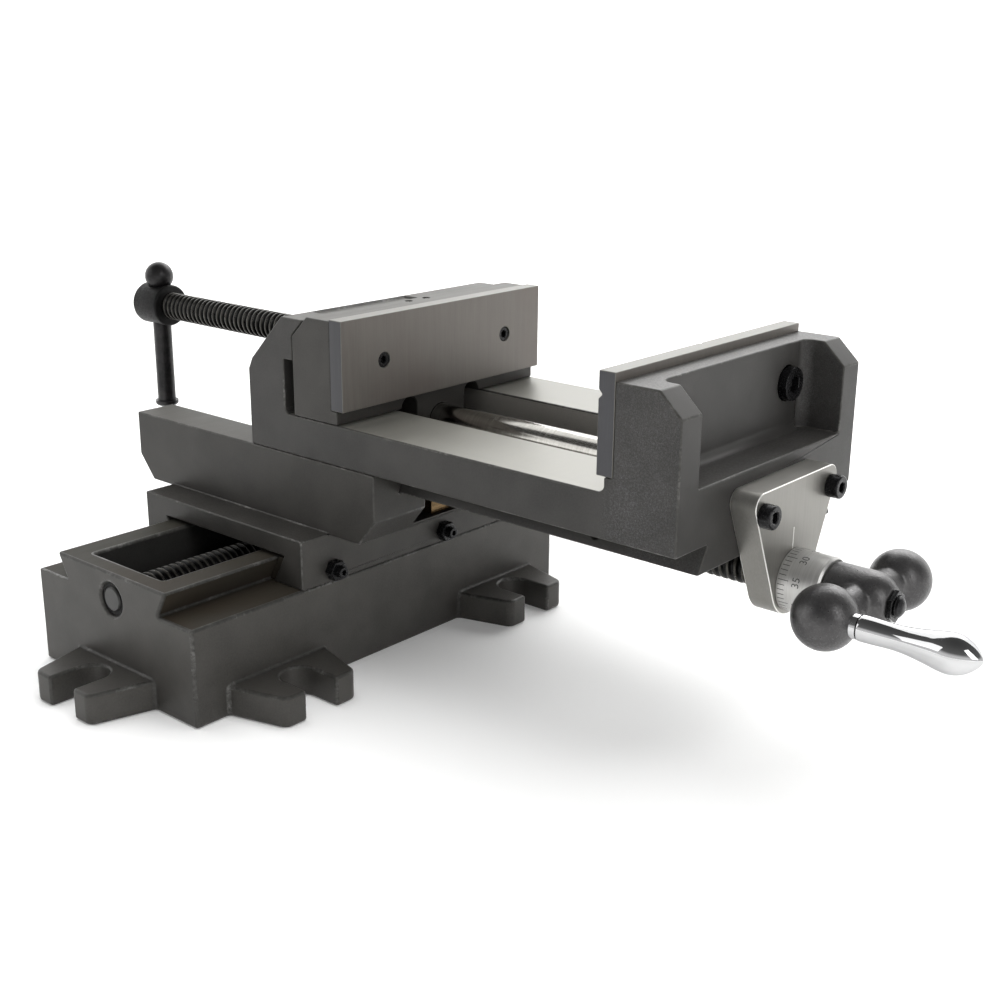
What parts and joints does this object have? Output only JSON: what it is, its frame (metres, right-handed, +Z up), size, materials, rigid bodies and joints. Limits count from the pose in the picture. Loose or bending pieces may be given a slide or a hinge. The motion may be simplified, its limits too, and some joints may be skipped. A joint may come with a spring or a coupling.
{
  "type": "compound slide machine vise",
  "caption": "Drill press vise with a screw-driven jaw, carried on two crossed dovetail slides that are moved by ball cranks with graduated dials.",
  "frame": {"origin": "middle of the flat underside of the base, on the table that the vise is bolted to", "axes": "+Z up; +X along the jaw travel, from the movable jaw to the fixed jaw and the upper crank; +Y along the base, towards the lower crank"},
  "size_m": [0.5677, 0.4167, 0.1868],
  "materials": {
    "casting": "satin",
    "ground_steel": "ground",
    "satin_steel": "satin",
    "crank_iron": "satin",
    "bright_grip": "polished",
    "black_oxide": "satin",
    "bronze": "machined"
  },
  "bodies": {
    "base": {"base_casting": "casting", "lower_end_bush": "bronze", "lower_screw_bracket": "satin_steel", "lower_bracket_bush": "bronze", "lower_bracket_screws": "black_oxide"},
    "lower_crank": {"lower_lead_screw": "black_oxide", "lower_dial": "satin_steel", "lower_dial_screw": "black_oxide", "lower_ball_crank": "crank_iron", "lower_crank_nut": "black_oxide", "lower_grip_spindle": "ground_steel"},
    "lower_grip": {"lower_crank_grip": "bright_grip"},
    "saddle": {"saddle_casting": "casting", "lower_nut": "bronze", "lower_nut_screws": "black_oxide", "lower_gib": "ground_steel", "lower_gib_screws": "black_oxide", "lower_gib_locknuts": "black_oxide", "upper_nut": "bronze", "upper_nut_screws": "black_oxide", "upper_gib": "ground_steel", "upper_gib_screws": "black_oxide", "upper_gib_locknuts": "black_oxide"},
    "vise_body": {"vise_body_casting": "casting", "clamp_nut": "bronze", "guide_rod": "ground_steel", "fixed_jaw_plate": "ground_steel", "fixed_jaw_screws": "black_oxide", "upper_screw_bracket": "satin_steel", "upper_bracket_bush": "bronze", "upper_bracket_screws": "black_oxide"},
    "upper_crank": {"upper_lead_screw": "black_oxide", "upper_dial": "satin_steel", "upper_dial_screw": "black_oxide", "upper_ball_crank": "crank_iron", "upper_crank_nut": "black_oxide", "upper_grip_spindle": "ground_steel"},
    "upper_grip": {"upper_crank_grip": "bright_grip"},
    "movable_jaw": {"movable_jaw_casting": "casting", "movable_jaw_plate": "ground_steel", "movable_jaw_screws": "black_oxide", "screw_retaining_pins": "ground_steel"},
    "clamp_screw": {"clamp_screw": "black_oxide"},
    "tommy_bar": {"tommy_bar": "black_oxide", "tommy_ball": "black_oxide", "tommy_end_cap": "black_oxide"}
  },
  "joints": [
    {"name": "lower_crank_turn", "type": "hinge", "parent": "base", "child": "lower_crank", "pos_m": [0, 0.1825, 0.05], "axis": [0, -1, 0], "range_deg": [-8641, 3601]},
    {"name": "saddle_slide", "type": "slide", "parent": "base", "child": "saddle", "axis": [0, 1, 0], "range_m": [-0.096, 0.04]},
    {"name": "lower_grip_spin", "type": "hinge", "parent": "lower_crank", "child": "lower_grip", "pos_m": [0.0352, 0.22, 0.05], "axis": [0, 1, 0], "continuous": true},
    {"name": "body_slide", "type": "slide", "parent": "saddle", "child": "vise_body", "axis": [-1, 0, 0], "range_m": [0, 0.172]},
    {"name": "upper_crank_turn", "type": "hinge", "parent": "vise_body", "child": "upper_crank", "pos_m": [0.32, 0.0277, 0.088], "axis": [-1, 0, 0], "range_deg": [0, 15481]},
    {"name": "upper_grip_spin", "type": "hinge", "parent": "upper_crank", "child": "upper_grip", "pos_m": [0.36, -0.00745, 0.08984], "axis": [1, 0, 0], "continuous": true},
    {"name": "jaw_slide", "type": "slide", "parent": "vise_body", "child": "movable_jaw", "axis": [1, 0, 0], "range_m": [0, 0.1533]},
    {"name": "clamp_screw_turn", "type": "hinge", "parent": "movable_jaw", "child": "clamp_screw", "pos_m": [0, 0.0277, 0.157], "axis": [1, 0, 0], "range_deg": [0, 13800]},
    {"name": "bar_slide", "type": "slide", "parent": "clamp_screw", "child": "tommy_bar", "axis": [0, 0, 1], "range_m": [0, 0.048]}
  ],
  "couplings": [
    {"joint": "lower_crank_turn", "follows": "saddle_slide", "rad_per_m": 1570.8},
    {"joint": "upper_crank_turn", "follows": "body_slide", "rad_per_m": 1570.8},
    {"joint": "clamp_screw_turn", "follows": "jaw_slide", "rad_per_m": 1570.8}
  ]
}
